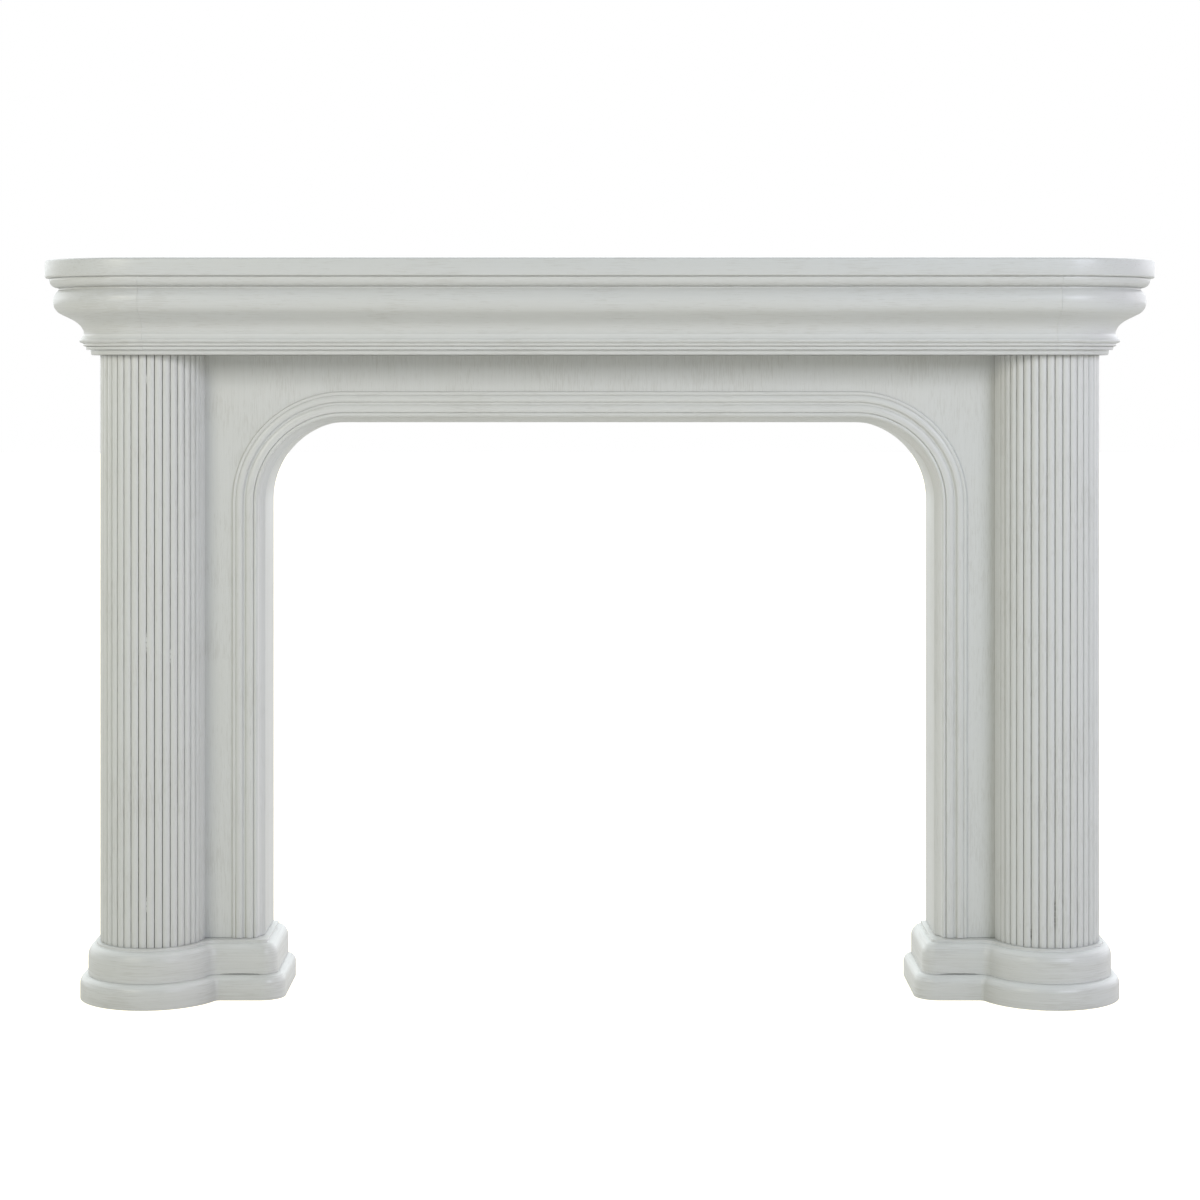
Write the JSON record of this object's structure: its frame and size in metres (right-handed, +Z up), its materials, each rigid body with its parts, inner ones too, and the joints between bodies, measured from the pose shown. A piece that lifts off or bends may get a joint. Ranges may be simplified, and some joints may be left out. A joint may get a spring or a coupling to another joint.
{
  "type": "fireplace mantelpiece",
  "caption": "White-washed wooden fireplace surround: shelf on a deep round-cornered cornice, reeded half columns on stepped plinths, and a moulded opening with round top corners.",
  "frame": {"origin": "on the floor, under the middle of the piece's outer box", "axes": "+X along the shelf to the viewer's right, +Y back towards the wall, +Z up"},
  "size_m": [1.835, 0.325, 1.216],
  "materials": {
    "whitewashed_wood": "satin white wash over visible grain",
    "side_wood": "plain white wash"
  },
  "bodies": {
    "root": {"mantel_shelf": "whitewashed_wood", "cornice_front": "whitewashed_wood", "cornice_corner_left": "whitewashed_wood", "cornice_corner_right": "whitewashed_wood", "cornice_soffit": "whitewashed_wood", "surround_panel": "whitewashed_wood", "opening_moulding": "whitewashed_wood", "opening_lining": "whitewashed_wood", "column_left": "whitewashed_wood", "column_right": "whitewashed_wood", "plinth_upper_left": "whitewashed_wood", "plinth_upper_right": "whitewashed_wood", "plinth_lower_left": "whitewashed_wood", "plinth_lower_right": "whitewashed_wood", "side_board_left": "side_wood", "side_board_right": "side_wood"}
  },
  "joints": []
}
